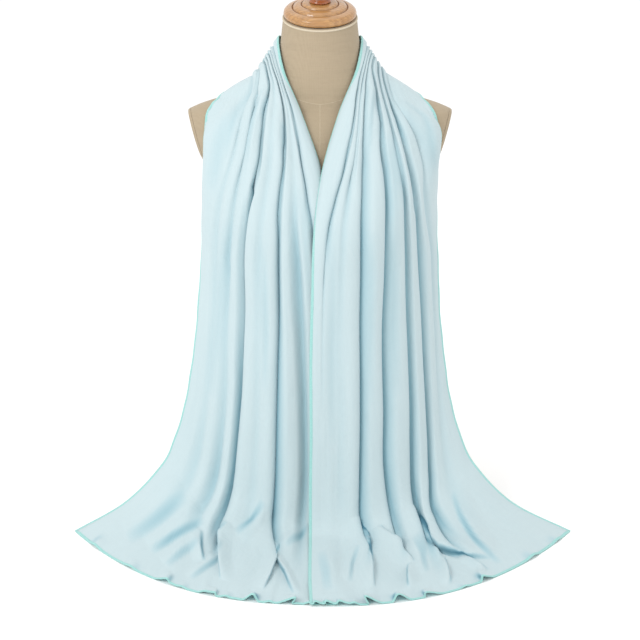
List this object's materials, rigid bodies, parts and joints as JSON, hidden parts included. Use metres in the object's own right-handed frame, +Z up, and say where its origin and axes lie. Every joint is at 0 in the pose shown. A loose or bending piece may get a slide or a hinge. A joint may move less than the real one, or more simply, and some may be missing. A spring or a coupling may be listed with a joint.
{
  "type": "hijab headscarf on a dress form",
  "caption": "Long jersey headscarf hung round the neck of a limbless dress form, its ends falling in folds to the table and fanning out there.",
  "frame": {"origin": "on the table, in the underside of the form's base board, under the middle of the form", "axes": "+Z up, -Y to the front where both ends of the scarf fall, +X to the viewer's right"},
  "size_m": [0.6554, 0.4737, 0.7124],
  "materials": {
    "jersey": "pale-blue fine jersey, matt with a faint sheen",
    "linen": "natural linen cover, matt plain weave",
    "board": "plain sanded plywood",
    "turned_wood": "varnished turned beech, satin",
    "polished_wood": "reddish turned knob, glossy"
  },
  "bodies": {
    "root": {"form_torso": "linen", "form_arm_plate_left": "linen", "form_arm_plate_right": "linen", "form_base_board": "board", "form_neck_cap": "turned_wood", "form_knob": "polished_wood", "scarf_nape": "jersey", "scarf_left_fall": "jersey", "scarf_right_fall": "jersey"}
  },
  "joints": []
}
